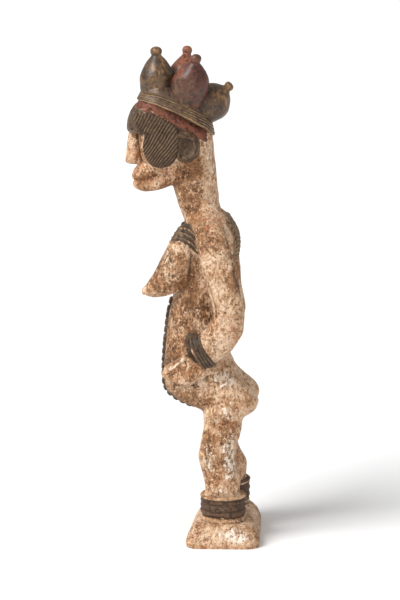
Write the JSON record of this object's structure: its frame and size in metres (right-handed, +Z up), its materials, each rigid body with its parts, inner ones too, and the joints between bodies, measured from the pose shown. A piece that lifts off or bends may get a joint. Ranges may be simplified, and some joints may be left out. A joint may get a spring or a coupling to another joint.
{
  "type": "eshu figure",
  "caption": "Carved wooden standing female figure with a coiffure of onion-shaped lobes, hands on the belly and ringed anklets, in one block with its low base.",
  "frame": {"origin": "centre of the base's underside, on the floor", "axes": "+Z up through the figure, -Y the way the figure faces, +X the figure's own left side"},
  "size_m": [0.162, 0.169, 0.6184],
  "materials": {
    "carved_wood": "worn chalky coat over wood, dark oily patina on the hair"
  },
  "bodies": {
    "root": {"carved_figure": "carved_wood"}
  },
  "joints": []
}
